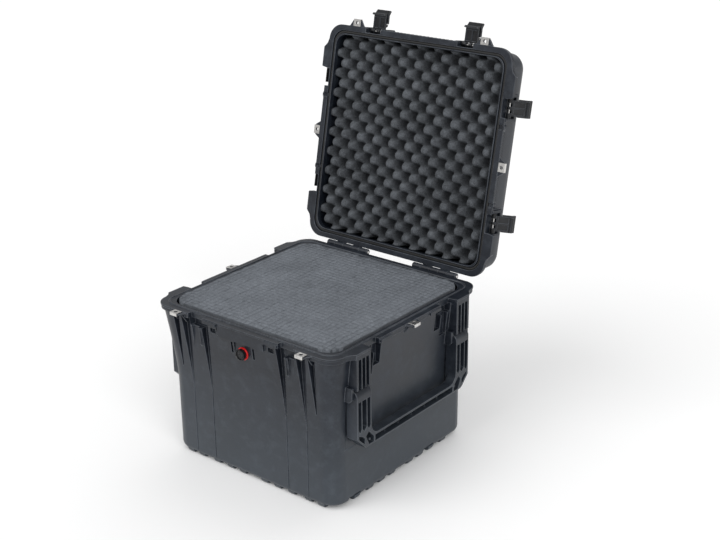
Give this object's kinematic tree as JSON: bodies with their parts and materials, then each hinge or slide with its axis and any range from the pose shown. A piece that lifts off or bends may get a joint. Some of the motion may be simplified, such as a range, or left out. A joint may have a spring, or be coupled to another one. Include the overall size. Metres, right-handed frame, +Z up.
{
  "type": "hard equipment case",
  "caption": "Hard-shell cube transport case with a hinged lid, throw latches, fold-down side handles, padlock eyes, a pressure valve and foam in base and lid.",
  "frame": {"origin": "middle of the base's underside, on the ground", "axes": "+Z up, +X to the right along the front, +Y towards the hinges; the front latches and the valve face -Y"},
  "size_m": [0.5864, 0.7288, 0.9247],
  "materials": {
    "case": "satin black moulded plastic with a fine grain",
    "latch": "satin black moulded plastic, smoother than the shell",
    "foam": "open-cell grey foam scored into small cubes",
    "lid_foam": "convoluted dark grey foam",
    "seal": "matt black rubber",
    "steel": "bright stainless steel",
    "valve_red": "semi-gloss red plastic"
  },
  "bodies": {
    "base": {"base_clip_front_left": "steel", "base_clip_front_right": "steel", "base_clip_left": "steel", "base_clip_right": "steel", "base_foam": "foam", "base_shell": "case", "handle_pin_left_back": "steel", "handle_pin_left_front": "steel", "handle_pin_right_back": "steel", "handle_pin_right_front": "steel", "hinge_pin_left": "steel", "hinge_pin_right": "steel", "valve_collar": "valve_red", "valve_stem": "latch"},
    "lid": {"latch_pin_front_left": "steel", "latch_pin_front_right": "steel", "latch_pin_left_back": "steel", "latch_pin_left_front": "steel", "latch_pin_right_back": "steel", "latch_pin_right_front": "steel", "lid_clip_front_left": "steel", "lid_clip_front_right": "steel", "lid_clip_left": "steel", "lid_clip_right": "steel", "lid_foam": "lid_foam", "lid_seal": "seal", "lid_shell": "case"},
    "latch_front_left": {"latch_arm_front_left": "latch", "lever_pin_front_left": "steel"},
    "lever_front_left": {"latch_lever_front_left": "latch"},
    "latch_front_right": {"latch_arm_front_right": "latch", "lever_pin_front_right": "steel"},
    "lever_front_right": {"latch_lever_front_right": "latch"},
    "latch_right_front": {"latch_arm_right_front": "latch", "lever_pin_right_front": "steel"},
    "lever_right_front": {"latch_lever_right_front": "latch"},
    "latch_right_back": {"latch_arm_right_back": "latch", "lever_pin_right_back": "steel"},
    "lever_right_back": {"latch_lever_right_back": "latch"},
    "latch_left_front": {"latch_arm_left_front": "latch", "lever_pin_left_front": "steel"},
    "lever_left_front": {"latch_lever_left_front": "latch"},
    "latch_left_back": {"latch_arm_left_back": "latch", "lever_pin_left_back": "steel"},
    "lever_left_back": {"latch_lever_left_back": "latch"},
    "handle_right": {"handle_right": "case"},
    "handle_left": {"handle_left": "case"},
    "valve_knob": {"valve_knob": "latch"}
  },
  "joints": [
    {"name": "lid_hinge", "type": "hinge", "parent": "base", "child": "lid", "pos_m": [0, 0.268, 0.37], "axis": [-1, 0, 0], "range_deg": [-101.5, 0]},
    {"name": "latch_front_left", "type": "hinge", "parent": "lid", "child": "latch_front_left", "pos_m": [-0.131, 0.39657, 0.87654], "axis": [-1, 0, 0], "range_deg": [-90, 40]},
    {"name": "lever_front_left", "type": "hinge", "parent": "latch_front_left", "child": "lever_front_left", "pos_m": [-0.131, 0.40642, 0.89086], "axis": [-1, 0, 0], "range_deg": [0, 50]},
    {"name": "latch_front_right", "type": "hinge", "parent": "lid", "child": "latch_front_right", "pos_m": [0.131, 0.39657, 0.87654], "axis": [-1, 0, 0], "range_deg": [-90, 40]},
    {"name": "lever_front_right", "type": "hinge", "parent": "latch_front_right", "child": "lever_front_right", "pos_m": [0.131, 0.40642, 0.89086], "axis": [-1, 0, 0], "range_deg": [0, 50]},
    {"name": "latch_right_front", "type": "hinge", "parent": "lid", "child": "latch_right_front", "pos_m": [0.254, 0.37205, 0.75601], "axis": [0, 0.1994, 0.9799], "range_deg": [-130, 0]},
    {"name": "lever_right_front", "type": "hinge", "parent": "latch_right_front", "child": "lever_right_front", "pos_m": [0.26189, 0.38723, 0.75292], "axis": [0, 0.1994, 0.9799], "range_deg": [0, 50]},
    {"name": "latch_right_back", "type": "hinge", "parent": "lid", "child": "latch_right_back", "pos_m": [0.254, 0.31981, 0.49927], "axis": [0, 0.1994, 0.9799], "range_deg": [-130, 0]},
    {"name": "lever_right_back", "type": "hinge", "parent": "latch_right_back", "child": "lever_right_back", "pos_m": [0.26189, 0.33499, 0.49618], "axis": [0, 0.1994, 0.9799], "range_deg": [0, 50]},
    {"name": "latch_left_front", "type": "hinge", "parent": "lid", "child": "latch_left_front", "pos_m": [-0.254, 0.37205, 0.75601], "axis": [0, -0.1994, -0.9799], "range_deg": [-130, 0]},
    {"name": "lever_left_front", "type": "hinge", "parent": "latch_left_front", "child": "lever_left_front", "pos_m": [-0.26189, 0.38723, 0.75292], "axis": [0, -0.1994, -0.9799], "range_deg": [0, 50]},
    {"name": "latch_left_back", "type": "hinge", "parent": "lid", "child": "latch_left_back", "pos_m": [-0.254, 0.31981, 0.49927], "axis": [0, -0.1994, -0.9799], "range_deg": [-130, 0]},
    {"name": "lever_left_back", "type": "hinge", "parent": "latch_left_back", "child": "lever_left_back", "pos_m": [-0.26189, 0.33499, 0.49618], "axis": [0, -0.1994, -0.9799], "range_deg": [0, 50]},
    {"name": "handle_right", "type": "hinge", "parent": "base", "child": "handle_right", "pos_m": [0.256, 0, 0.268], "axis": [0, -1, 0], "range_deg": [0, 90]},
    {"name": "handle_left", "type": "hinge", "parent": "base", "child": "handle_left", "pos_m": [-0.256, 0, 0.268], "axis": [0, 1, 0], "range_deg": [0, 90]},
    {"name": "valve_knob", "type": "hinge", "parent": "base", "child": "valve_knob", "pos_m": [0, -0.2576, 0.313], "axis": [0, -1, 0], "range_deg": [0, 180]}
  ]
}
